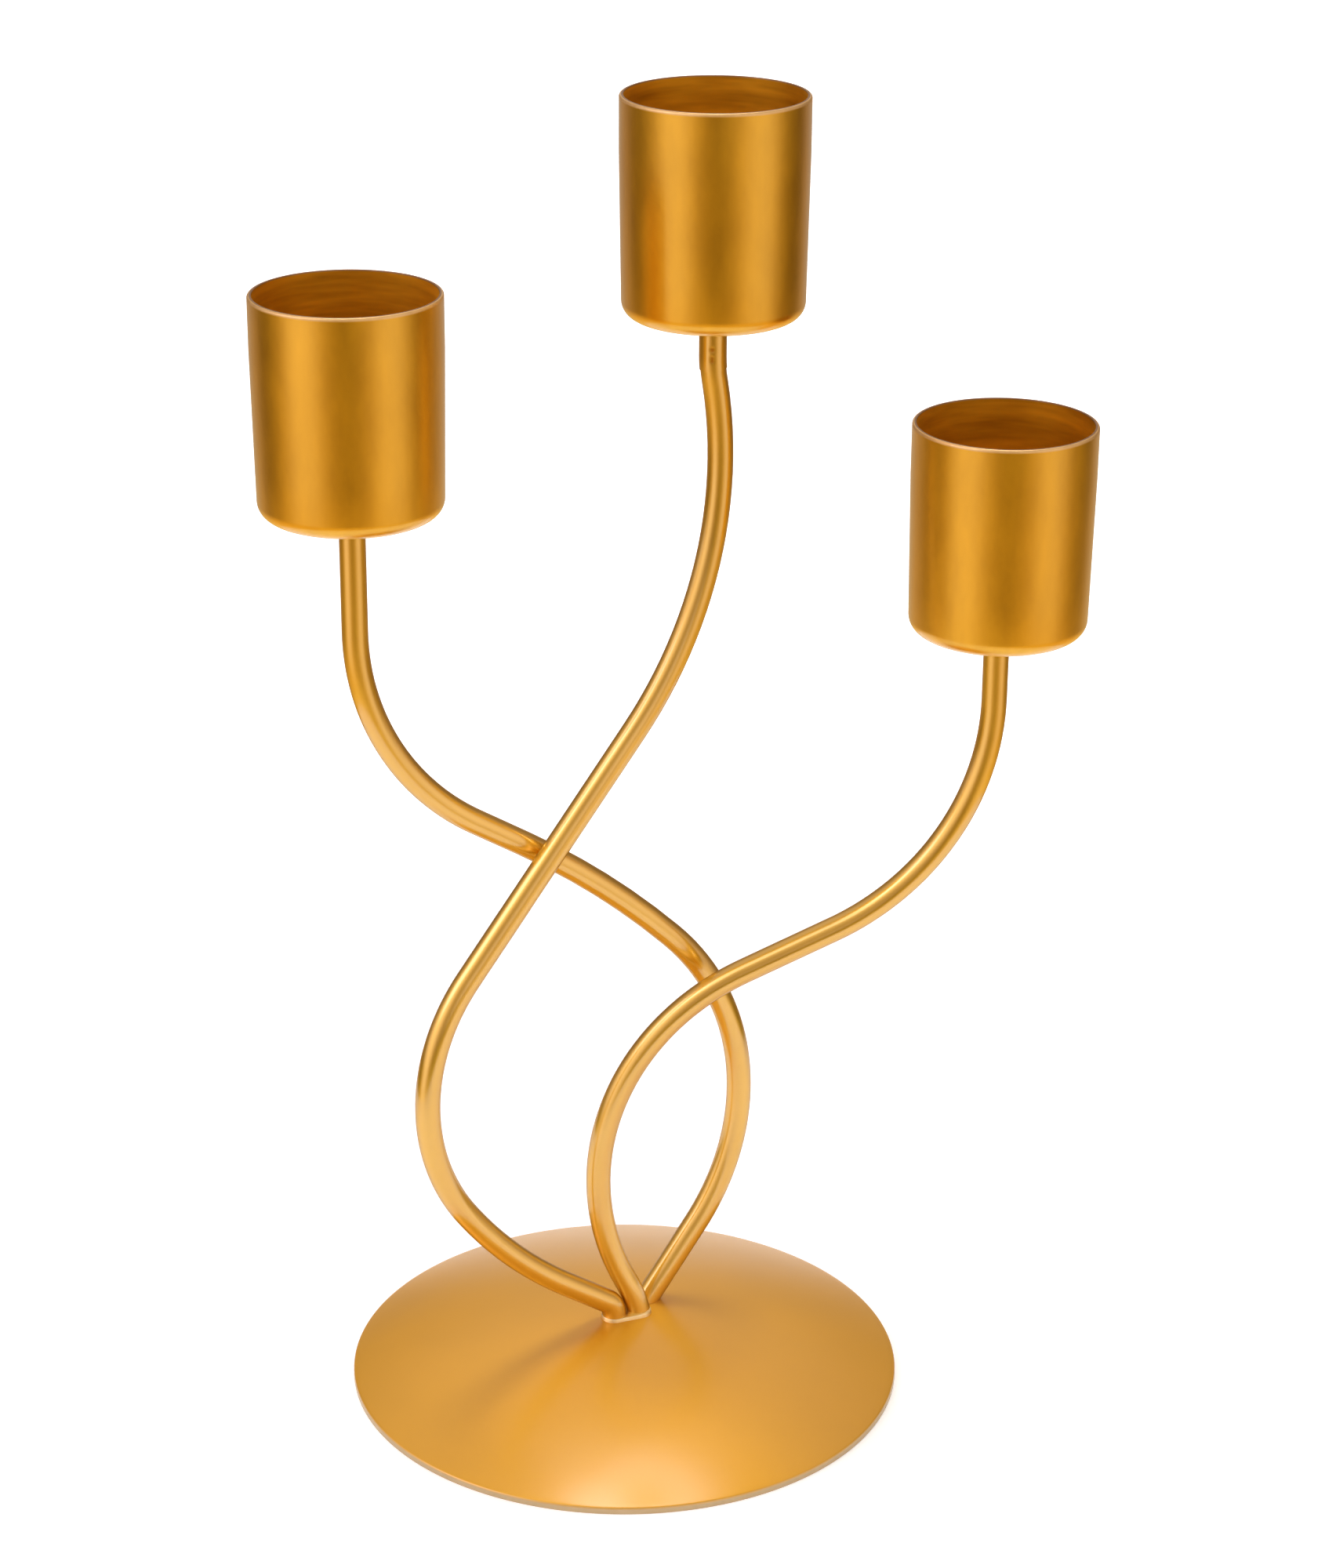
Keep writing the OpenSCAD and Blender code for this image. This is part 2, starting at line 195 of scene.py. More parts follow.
# One gold finish: base colour with clouds, roughness with clouds, fine grain in the normal.
# Each mask is a mesh attribute: where it is 1, the finish has the mask's colour, roughness and coat. Some
# masks carry painted highlight and painted shade
def makeGold(name, look):
    material, tree, shader = newMaterial(name)
    colour, clouds = cloudedColour(tree, look, (-900, 200))
    rough = mathNode(tree, "MULTIPLY_ADD", (clouds, look["cloudRoughness"], look["roughness"]), (-500, 0))
    facing = newNode(tree, "ShaderNodeLayerWeight", (-900, -500), {"Blend": outline["blend"]})
    coat = rangeNode(tree, facing.outputs["Facing"], outline["from"], outline["to"], (-700, -500),
                     (look["coat"], look["coat"] * look["outlineCoat"]), "SMOOTHSTEP")

    for i, (maskName, part) in enumerate(look.get("masks", {}).items()):
        x = 250 * i
        mask = newNode(tree, "ShaderNodeAttribute", (x - 500, 600), attribute_name=maskName).outputs["Fac"]
        maskedColour, _ = cloudedColour(tree, part, (x - 900, 700))
        colour = mixNode(tree, "RGBA", mask, colour, maskedColour, (x - 250, 300))
        rough = mixNode(tree, "FLOAT", mask, rough, part["roughness"], (x - 250, 0))
        coat = mixNode(tree, "FLOAT", mask, coat, part["coat"], (x - 250, -500))

    # painted reflection: to glossy rays the gold turns to its paler mirror colour, so gold seen in gold shows
    # lighter
    path = newNode(tree, "ShaderNodeLightPath", (0, 700))
    paler = mathNode(tree, "MULTIPLY", (path.outputs["Is Glossy Ray"], look["mirrorShare"]), (200, 600))
    colour = mixNode(tree, "RGBA", paler, colour, look["mirrorColour"], (400, 400))

    coarseScale = look["grainScale"] / grainNoise["coarseStep"]
    grain = newNode(tree, "ShaderNodeGroup", (-900, -200),
                    {"Scale": look["grainScale"], "Coarse Scale": coarseScale}, node_tree=fineGrain)
    bump = newNode(tree, "ShaderNodeBump", (-500, -200), {
        "Strength": look["grainStrength"], "Distance": look["grainHeight"],
        "Height": grain.outputs["Height"]})
    feedAll(tree, shader, {
        "Base Color": colour, "Metallic": look["metallic"], "Roughness": rough,
        "Specular Tint": look["edgeTint"], "Normal": bump.outputs["Normal"],
        "Coat Weight": coat, "Coat Roughness": look["coatRoughness"], "Coat IOR": look["coatIor"]})
    return material


goldLooks = {
    "dishGold": {
        "colour": (0.82, 0.42, 0.017), "deepColour": (0.74, 0.37, 0.011),
        "metallic": 0.8, "roughness": 0.55, "edgeTint": (1.0, 1.0, 1.0),
        "coat": 0.95, "coatRoughness": 0.24, "coatIor": 1.6, "outlineCoat": 1.0,
        "cloudScale": 45.0, "cloudColour": 0.8, "cloudRoughness": 0.08,
        "grainScale": 700.0, "grainStrength": 0.3, "grainHeight": 0.00002,
        "mirrorColour": (0.90, 0.56, 0.03), "mirrorShare": 0.6,
        "masks": {
            # the upright cut edge of the dish is drawn in a paler, greyer gold
            "edge": {
                "colour": (0.62, 0.47, 0.28), "deepColour": (0.52, 0.37, 0.18),
                "cloudScale": 200.0, "cloudColour": 1.0, "roughness": 0.5, "coat": 0.5,
            },
        },
    },
    "rodGold": {
        "colour": (0.85, 0.48, 0.042), "deepColour": (0.755, 0.41, 0.027),
        "metallic": 0.92, "roughness": 0.32, "edgeTint": (0.36, 0.30, 0.20),
        "coat": 1.0, "coatRoughness": 0.15, "coatIor": 2.0, "outlineCoat": 0.05,
        "cloudScale": 90.0, "cloudColour": 1.0, "cloudRoughness": 0.06,
        "grainScale": 700.0, "grainStrength": 0.1, "grainHeight": 0.00001,
        "mirrorColour": (0.95, 0.64, 0.06), "mirrorShare": 0.8,
        "masks": {
            # painted shade: the punch marks on the neck sleeve are drawn dark brown
            "pressed": {
                "colour": (0.56, 0.23, 0.01), "deepColour": (0.42, 0.16, 0.006),
                "cloudScale": 600.0, "cloudColour": 1.0, "roughness": 0.6, "coat": 0.3,
            },
        },
    },
    "cupGold": {
        "colour": (0.86, 0.46, 0.019), "deepColour": (0.70, 0.36, 0.012),
        "metallic": 1.0, "roughness": 0.315, "edgeTint": (1.0, 1.0, 1.0),
        "coat": 1.0, "coatRoughness": 0.20, "coatIor": 1.5, "outlineCoat": 1.0,
        "cloudScale": 170.0, "cloudAlong": 0.35, "cloudColour": 1.6, "cloudRoughness": 0.09,
        "grainScale": 500.0, "grainStrength": 0.5, "grainHeight": 0.00003,
        "mirrorColour": (0.95, 0.62, 0.05), "mirrorShare": 0.9,
        "masks": {
            # painted shade: the inner wall and floor are drawn darker on average than the outside, with
            # strong level bands of cloud
            "inside": {
                "colour": (0.92, 0.47, 0.025), "deepColour": (0.36, 0.155, 0.005),
                "cloudScale": 260.0, "cloudAcross": 0.12, "cloudColour": 1.8, "roughness": 0.5, "coat": 0.4,
            },
            # painted shade: the flat top of the lip and the top of the inner wall are drawn dark brown
            "edge": {
                "colour": (0.34, 0.19, 0.10), "deepColour": (0.26, 0.14, 0.07),
                "cloudScale": 400.0, "cloudColour": 1.4, "roughness": 0.5, "coat": 0.1,
            },
            # painted highlight: the rounded outside of the lip is drawn pale pinkish gold, rough so that no
            # real highlight shows there
            "lip": {
                "colour": (0.84, 0.56, 0.26), "deepColour": (0.70, 0.43, 0.18),
                "cloudScale": 400.0, "cloudColour": 1.4, "roughness": 0.5, "coat": 0.3,
            },
        },
    },
    "weldGold": {
        "colour": (1.0, 0.86, 0.58), "deepColour": (0.85, 0.58, 0.24),
        "metallic": 1.0, "roughness": 0.40, "edgeTint": (1.0, 1.0, 1.0),
        "coat": 0.1, "coatRoughness": 0.2, "coatIor": 1.5, "outlineCoat": 1.0,
        "cloudScale": 600.0, "cloudColour": 1.2, "cloudRoughness": 0.2,
        "grainScale": 1500.0, "grainStrength": 0.4, "grainHeight": 0.00005,
        "mirrorColour": (0.90, 0.54, 0.03), "mirrorShare": 0.5,
    },
}
golds = {name: makeGold(name, look) for name, look in goldLooks.items()}

# Zinc of the washers and screws
zincLook = {
    "colour": (0.52, 0.52, 0.50), "deepColour": (0.32, 0.33, 0.35), "metallic": 1.0, "roughness": 0.35,
    "cloudScale": 900.0, "cloudColour": 1.0, "cloudRoughness": 0.3,
}


def makeZinc(name, look):
    material, tree, shader = newMaterial(name)
    colour, clouds = cloudedColour(tree, look, (-900, 200))
    rough = mathNode(tree, "MULTIPLY_ADD", (clouds, look["cloudRoughness"], look["roughness"]), (-500, 0))
    feedAll(tree, shader, {"Base Color": colour, "Metallic": look["metallic"], "Roughness": rough})
    return material


zincSteel = makeZinc("zincSteel", zincLook)
print("materials made:", ", ".join(golds), "and zincSteel")


# Mesh helpers

joinDistance = 0.0005 * mm


# Draws an outline in the XZ plane, one operator call for each line or arc.
# A mark sets a mask from the tip on, since each new corner copies the one before it
class OutlinePen:
    def __init__(self, x, z, masks=()):
        self.mesh = bmesh.new()
        self.masks = {name: self.mesh.verts.layers.float.new(name) for name in masks}
        self.tip = self.mesh.verts.new((x, 0, z))

    def mark(self, name, value):
        self.tip[self.masks[name]] = value

    def line(self, x, z):
        made = bmesh.ops.extrude_vert_indiv(self.mesh, verts=[self.tip])
        self.tip = made["verts"][0]
        self.tip.co = (x, 0, z)

    # Positive degrees turn from +X towards +Z
    def arc(self, centreX, centreZ, degrees, steps):
        made = bmesh.ops.spin(self.mesh, geom=[self.tip], cent=(centreX, 0, centreZ), axis=(0, -1, 0),
                              angle=radians(degrees), steps=steps, use_duplicate=False)
        self.tip = cornersOf(made["geom_last"])[0]

    # Spins the outline round the Z axis into a closed body
    def lathe(self, segments):
        made = self.mesh
        bmesh.ops.spin(made, geom=made.verts[:] + made.edges[:], cent=(0, 0, 0), axis=(0, 0, 1),
                       angle=2 * pi, steps=segments, use_merge=True, use_duplicate=False)
        bmesh.ops.remove_doubles(made, verts=made.verts[:], dist=joinDistance)
        bmesh.ops.recalc_face_normals(made, faces=made.faces[:])
        return made


def cornersOf(parts):
    return [part for part in parts if isinstance(part, bmesh.types.BMVert)]


def edgesOf(parts):
    return [part for part in parts if isinstance(part, bmesh.types.BMEdge)]


# Grows the open end of a tube by one straight step, and returns the new end's edges
def growTube(made, edges, step):
    grown = bmesh.ops.extrude_edge_only(made, edges=edges)["geom"]
    bmesh.ops.translate(made, vec=step, verts=cornersOf(grown))
    return [edge for edge in edgesOf(grown)
            if edge.is_boundary and all(corner in grown for corner in edge.verts)]


# Turns the open end of a tube about a centre, and returns the new end's edges
def bendTube(made, edges, centre, degrees, steps):
    corners = list(dict.fromkeys(corner for edge in edges for corner in edge.verts))
    grown = bmesh.ops.spin(made, geom=edges + corners, cent=centre, axis=(0, -1, 0),
                           angle=radians(degrees), steps=steps, use_duplicate=False)
    return edgesOf(grown["geom_last"])


def finishPiece(made, name, material, nodes, sharpDegrees=40):
    mesh = bpy.data.meshes.new(name)
    made.to_mesh(mesh)
    made.free()
    mesh.materials.append(material)
    mesh.polygons.foreach_set("use_smooth", [True] * len(mesh.polygons))
    mesh.set_sharp_from_angle(angle=radians(sharpDegrees))
    piece = bpy.data.objects.new(name, mesh)
    scene.collection.objects.link(piece)
    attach(piece, body)
    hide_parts(*nodes)
    print("piece made:", name, len(mesh.polygons), "faces")


# Base dish: a domed sheet with an upright cut edge
dish = {
    "radius": 68.0 * mm, "height": 14.0 * mm, "sheet": 2.0 * mm,
    "edgeHeight": 1.6 * mm, "edgeRounding": 0.6 * mm, "halfEdgeSteps": 3,
    "segments": 192, "domeSteps": 48,
}


def makeDish():
    rise = dish["height"] - dish["edgeHeight"]
    domeRadius = (dish["radius"] ** 2 + rise ** 2) / (2 * rise)
    domeZ = dish["height"] - domeRadius
    cornerX = dish["radius"] - dish["edgeRounding"]
    cornerOut = domeRadius - dish["edgeRounding"]
    lean = asin(cornerX / cornerOut)
    leanDegrees = lean * 180 / pi
    cornerZ = domeZ + cornerOut * cos(lean)
    halfEdge = -(90 - leanDegrees) / 2
    under = domeRadius - dish["sheet"]
    underLean = asin(sqrt(under ** 2 - domeZ ** 2) / under)
    pen = OutlinePen(0, dish["height"], ["edge"])
    pen.arc(0, domeZ, -leanDegrees, dish["domeSteps"])
    pen.arc(cornerX, cornerZ, halfEdge, dish["halfEdgeSteps"])
    pen.mark("edge", 0.5)
    pen.arc(cornerX, cornerZ, halfEdge, dish["halfEdgeSteps"])
    pen.mark("edge", 1)
    pen.line(dish["radius"], 0)
    pen.line(under * sin(underLean), 0)
    pen.mark("edge", 0)
    pen.arc(0, domeZ, underLean * 180 / pi, dish["domeSteps"])
    return pen.lathe(dish["segments"])


finishPiece(makeDish(), "dishShell", golds["dishGold"], ["base_dish"])

# Arms: bent rods, each in an upright plane over its foot. Lengths of the arms are in mm and
# angles in degrees. The start is the heading at the foot, from level, and the neck is the straight
# run under the cup. Each bend is (run before it, radius, turn), and a turn of None ends upright
rod = {
    "diameter": 6.0 * mm, "sides": 40,
    "footReach": 2.5 * mm,                  # how far a rod goes on below the crown's height
    "bendStep": 2.0, "fewestSteps": 4,      # degrees of each step in a bend, steps in a small one
    "tapRadius": 1.55 * mm, "tapDepth": 7.5 * mm,
}
arms = {
    "tall": {
        "azimuth": 27.0, "start": 90.0, "neck": 9.0, "foot": (-2.632, -1.240),
        "bends": [(1.0, 5.0, 55.5), (13.5, 105.0, -19.5), (1.0, 52.0, -74.0), (70.5, 104.0, 48.0),
                  (1.0, 33.0, None)],
    },
    "left": {
        "azimuth": 23.0, "start": 55.0, "neck": 28.0, "foot": (5.494, 8.159),
        "bends": [(23.0, 63.0, 80.0), (1.0, 212.0, 13.0), (14.0, 60.0, None)],
    },
    "right": {
        "azimuth": 5.5, "start": 104.0, "neck": 17.0, "foot": (3.4, 1.9),
        "bends": [(1.0, 36.0, 12.5), (1.2, 62.0, -91.0), (24.0, 65.0, None)],
    },
}


# The mesh of an arm, and the place of its upper end
def makeRod(arm):
    made = bmesh.new()
    heading = radians(arm["start"])
    place = Vector((0, 0, dish["height"])) - rod["footReach"] * Vector((cos(heading), 0, sin(heading)))
    ring = bmesh.ops.create_circle(made, cap_ends=True, segments=rod["sides"],
                                   radius=rod["diameter"] / 2)["verts"]
    leaning = Matrix.Translation(place) @ Matrix.Rotation(pi / 2 - heading, 4, "Y")
    bmesh.ops.transform(made, matrix=leaning, verts=ring)
    edges = made.edges[:]

    def run(length):
        nonlocal edges, place
        step = length * Vector((cos(heading), 0, sin(heading)))
        edges = growTube(made, edges, step)
        place = place + step

    def bend(radius, turn):
        nonlocal edges, place, heading
        side = 1 if turn > 0 else -1
        centre = place + side * radius * Vector((-sin(heading), 0, cos(heading)))
        steps = max(rod["fewestSteps"], round(abs(turn) / rod["bendStep"]))
        edges = bendTube(made, edges, centre, turn, steps)
        heading += radians(turn)
        place = centre + side * radius * Vector((sin(heading), 0, -cos(heading)))

    turned = arm["start"]
    buried = rod["footReach"]
    for length, radius, turn in arm["bends"]:
        if turn is None:
            turn = 90 - turned
        run(length * mm + buried)
        bend(radius * mm, turn)
        turned += turn
        buried = 0
    run(arm["neck"] * mm)

    # the tapped hole in the end
    cap = bmesh.ops.edgeloop_fill(made, edges=edges)["faces"]
    rim = rod["diameter"] / 2 - rod["tapRadius"]
    bmesh.ops.inset_region(made, faces=cap, thickness=rim, use_even_offset=True)
    hole = bmesh.ops.extrude_face_region(made, geom=cap)["geom"]
    bmesh.ops.translate(made, vec=(0, 0, -rod["tapDepth"]), verts=cornersOf(hole))
    bmesh.ops.delete(made, geom=cap, context="FACES_ONLY")

    footX, footY = arm["foot"]
    turnedPlane = Matrix.Rotation(radians(arm["azimuth"]), 4, "Z")
    standing = Matrix.Translation((footX * mm, footY * mm, 0)) @ turnedPlane
    bmesh.ops.transform(made, matrix=standing, verts=made.verts[:])
    bmesh.ops.recalc_face_normals(made, faces=made.faces[:])
    return made, standing @ place


tops = {}
for name, arm in arms.items():
    rodMesh, tops[name] = makeRod(arm)
    finishPiece(rodMesh, name + "Rod", golds["rodGold"], ["arm_" + name])
    print("top of the", name, "arm:", [round(value / mm, 3) for value in tops[name]])

# Candle cups: drawn, with a rounded bottom edge and a thin rounded lip
cup = {
    "radius": 21.5 * mm, "height": 50.5 * mm, "wall": 1.0 * mm, "mouth": 12.0 * mm,
    "draft": 0.9,         # degrees that the wall leans in below the mouth
    "corner": 3.9 * mm, "hole": 1.6 * mm,
    "lipRounding": 0.55 * mm, "innerBreak": 0.1 * mm,
    # the painted highlight on the outside of the lip and the painted shade on its top fade out down the walls
    # over this length
    "paintFade": 0.3 * mm,     # how far the lip's finish fades down the wall
    "segments": 160, "cornerSteps": 10, "wallSteps": 4, "lipSteps": 6, "breakSteps": 3,
    "sharpDegrees": 30,
}
taperTop = cup["height"] - cup["wall"] / 2 - cup["mouth"]


# X of a corner arc's centre, for the wall that starts at mouthRadius and leans in by the draft
def cornerCentre(mouthRadius, corner, bottom):
    lean = radians(cup["draft"])
    return mouthRadius - (taperTop - bottom - corner) * tan(lean) - corner / cos(lean)


def makeCup(top):
    lean = radians(cup["draft"])
    outRadius, outCorner = cup["radius"], cup["corner"]
    inRadius, inCorner = cup["radius"] - cup["wall"], cup["corner"] - cup["wall"]
    outX = cornerCentre(outRadius, outCorner, 0)
    inX = cornerCentre(inRadius, inCorner, cup["wall"])
    outEnd = (outX + outCorner * cos(lean), outCorner * (1 - sin(lean)))
    inEnd = (inX + inCorner * cos(lean), cup["wall"] + inCorner * (1 - sin(lean)))
    lipZ = cup["height"] - cup["lipRounding"]
    pen = OutlinePen(cup["hole"], 0, ["inside", "edge", "lip"])

    def taper(start, end):
        for step in range(1, cup["wallSteps"] + 1):
            share = step / cup["wallSteps"]
            pen.line(*[first + (last - first) * share for first, last in zip(start, end)])

    pen.line(outX, 0)
    pen.arc(outX, outCorner, 90 - cup["draft"], cup["cornerSteps"])
    taper(outEnd, (outRadius, taperTop))
    # the lip: rounded and drawn pale on the outside as a painted highlight, cut flat and drawn darker on top
    # as painted shade
    pen.line(outRadius, lipZ - cup["paintFade"])
    pen.line(outRadius, lipZ)
    pen.mark("lip", 1)
    pen.arc(outRadius - cup["lipRounding"], lipZ, 90, cup["lipSteps"])
    pen.mark("lip", 0)
    pen.mark("edge", 1)
    pen.line(inRadius + cup["innerBreak"], cup["height"])
    pen.arc(inRadius + cup["innerBreak"], cup["height"] - cup["innerBreak"], 90, cup["breakSteps"])
    pen.line(inRadius, cup["height"] - cup["innerBreak"] - cup["paintFade"])
    pen.mark("edge", 0)
    pen.mark("inside", 1)
    pen.line(inRadius, taperTop)
    taper((inRadius, taperTop), inEnd)
    pen.arc(inX, cup["wall"] + inCorner, cup["draft"] - 90, cup["cornerSteps"])
    pen.line(cup["hole"], cup["wall"])
    pen.line(cup["hole"], 0)
    pen.mark("inside", 0)
    made = pen.lathe(cup["segments"])
    bmesh.ops.translate(made, vec=top, verts=made.verts[:])
    return made


for name, top in tops.items():
    finishPiece(makeCup(top), name + "Cup", golds["cupGold"], ["cup_" + name],
                cup["sharpDegrees"])

# Weld pad: one low straight lip of weld metal in front of the tall and right feet
weldPad = {
    "rounds": [(-2.55 * mm, -1.15 * mm, 3.25 * mm), (3.3 * mm, 1.25 * mm, 3.3 * mm)],    # x, y, radius
    "sink": 0.8 * mm, "height": 0.9 * mm, "lean": 0.15 * mm, "sides": 48,
    "rounding": 0.22 * mm, "roundingSteps": 3,
    "flatDegrees": 0.5,   # faces that meet at less than this become one
    "rimBand": 0.01 * mm,    # edges this near the top are its rim
}


def makeWeldPad():
    made = bmesh.new()
    low, top = dish["height"] - weldPad["sink"], dish["height"] + weldPad["height"]
    for x, y, radius in weldPad["rounds"]:
        bmesh.ops.create_cone(made, cap_ends=True, segments=weldPad["sides"], depth=top - low,
                              radius1=radius + weldPad["lean"], radius2=radius,
                              matrix=Matrix.Translation((x, y, (low + top) / 2)))
    hull = bmesh.ops.convex_hull(made, input=made.verts[:], use_existing_faces=False)
    kept = set(hull["geom"])
    bmesh.ops.delete(made, geom=[face for face in made.faces if face not in kept], context="FACES")
    bmesh.ops.dissolve_limit(made, angle_limit=radians(weldPad["flatDegrees"]),
                             verts=made.verts[:], edges=made.edges[:])
    rim = [edge for edge in made.edges
           if all(corner.co.z > top - weldPad["rimBand"] for corner in edge.verts)]
    bmesh.ops.bevel(made, geom=rim, offset=weldPad["rounding"], segments=weldPad["roundingSteps"],
                    profile=0.5, affect="EDGES", material=-1)
    bmesh.ops.recalc_face_normals(made, faces=made.faces[:])
    return made


finishPiece(makeWeldPad(), "weldPad", golds["weldGold"], ["foot_weld"])

# Neck sleeve: a thin tube on the neck of the tall arm, with two punch marks, the lower one drawn out. The
# marks are dented a little and painted dark brown as shade in the dents
sleeve = {
    "radius": 3.18 * mm, "wall": 0.12 * mm, "sides": 64, "ring": 0.3 * mm,
    "bendRadius": 33.0 * mm, "bendDegrees": 5.5, "bendSteps": 12,
    "marks": [(7.1 * mm, 0.75 * mm), (9.1 * mm, 0.6 * mm), (9.8 * mm, 0.6 * mm)],    # below the cup, radius
    "markAzimuth": -93.0, "markDepth": 0.08 * mm,
    "markFade": 2,        # the mask is 1 from the middle of a mark to half of its radius
}


def makeSleeve(arm, top):
    made = bmesh.new()
    pressed = made.verts.layers.float.new("pressed")
    bmesh.ops.create_circle(made, cap_ends=False, segments=sleeve["sides"], radius=sleeve["radius"])
    edges = made.edges[:]
    straight = arm["neck"] * mm
    for _ in range(round(straight / sleeve["ring"])):
        edges = growTube(made, edges, (0, 0, -sleeve["ring"]))
    bendTube(made, edges, (sleeve["bendRadius"], 0, -straight), sleeve["bendDegrees"], sleeve["bendSteps"])
    bmesh.ops.recalc_face_normals(made, faces=made.faces[:])
    bmesh.ops.solidify(made, geom=made.faces[:], thickness=sleeve["wall"])
    turnedPlane = Matrix.Rotation(radians(arm["azimuth"]), 4, "Z")
    bmesh.ops.transform(made, matrix=turnedPlane, verts=made.verts[:])
    markTurn = radians(sleeve["markAzimuth"])
    facing = Vector((cos(markTurn), sin(markTurn), 0))
    for down, radius in sleeve["marks"]:
        middle = facing * sleeve["radius"] + Vector((0, 0, -down))
        for corner in made.verts:
            near = max(0, 1 - (corner.co - middle).length / radius)
            corner[pressed] = max(corner[pressed], min(1, sleeve["markFade"] * near))
            corner.co -= facing * sleeve["markDepth"] * sqrt(near)
    bmesh.ops.translate(made, vec=top, verts=made.verts[:])
    return made


finishPiece(makeSleeve(arms["tall"], tops["tall"]), "neckSleeve", golds["rodGold"],
            ["neck_ferrule"])

# CAD nodes that stay
keptNodes = {"cup_washers": zincSteel, "cup_screws": zincSteel}
for name, material in keptNodes.items():
    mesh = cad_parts[name].data
    mesh.materials.clear()
    mesh.materials.append(material)
print("finishes given to", ", ".join(keptNodes))

# Studio floor: pale, white to the camera, and keeps the soft shadow of the holder.
# Past the mirror radius only the camera sees it, and the metal sees the studio below it.
# From below it is clear
floorLook = {
    "radius": 2.6, "mirrorRadius": 0.28, "sides": 128, "colour": (0.88, 0.88, 0.88), "roughness": 0.7,
    "whiteLift": 0.35,    # glow that turns the floor white to the camera
    "farLift": 0.3,       # more of it past the mirror radius
    "mirrorLift": 0.7,    # share of it that the metal sees
}


def makeFloor():
    shape = bmesh.new()
    bmesh.ops.create_circle(shape, cap_ends=True, segments=floorLook["sides"], radius=floorLook["radius"])
    mesh = bpy.data.meshes.new("studioFloor")
    shape.to_mesh(mesh)
    shape.free()
    material, tree, shader = newMaterial("paleFloor")
    material.cycles.emission_sampling = "NONE"
    path = newNode(tree, "ShaderNodeLightPath", (-800, -300))
    cameraRay = path.outputs["Is Camera Ray"]
    coords = newNode(tree, "ShaderNodeTexCoord", (-900, 300))
    reach = newNode(tree, "ShaderNodeVectorMath", (-750, 300), {0: coords.outputs["Object"]},
                    operation="LENGTH")
    past = mathNode(tree, "GREATER_THAN", (reach.outputs["Value"], floorLook["mirrorRadius"]), (-600, 300))

    mirrored = mathNode(tree, "MULTIPLY", (mirrorRays(tree, path, (-650, -300)), floorLook["mirrorLift"]),
                        (-500, -300))
    seen = mathNode(tree, "ADD", (cameraRay, mirrored), (-350, -300))
    lift = mathNode(tree, "MULTIPLY_ADD", (past, floorLook["farLift"], floorLook["whiteLift"]), (-400, 0))
    glow = mathNode(tree, "MULTIPLY", (seen, lift), (-200, -300))
    feedAll(tree, shader, {
        "Base Color": floorLook["colour"], "Roughness": floorLook["roughness"],
        "Emission Color": (1, 1, 1), "Emission Strength": glow})

    unseen = mathNode(tree, "SUBTRACT", (1.0, cameraRay), (-300, 150))
    pastUnseen = mathNode(tree, "MULTIPLY", (past, unseen), (-100, 300))
    side = newNode(tree, "ShaderNodeNewGeometry", (-300, 500))
    hidden = mathNode(tree, "MAXIMUM", (pastUnseen, side.outputs["Backfacing"]), (100, 400))
    clear = newNode(tree, "ShaderNodeBsdfTransparent", (0, -500))
    mixed = newNode(tree, "ShaderNodeMixShader", (350, 100),
                    {0: hidden, 1: shader.outputs[0], 2: clear.outputs[0]})
    feed(tree, tree.nodes["Material Output"].inputs["Surface"], mixed.outputs[0])
    mesh.materials.append(material)
    floor = bpy.data.objects.new("studioFloor", mesh)
    scene.collection.objects.link(floor)


makeFloor()

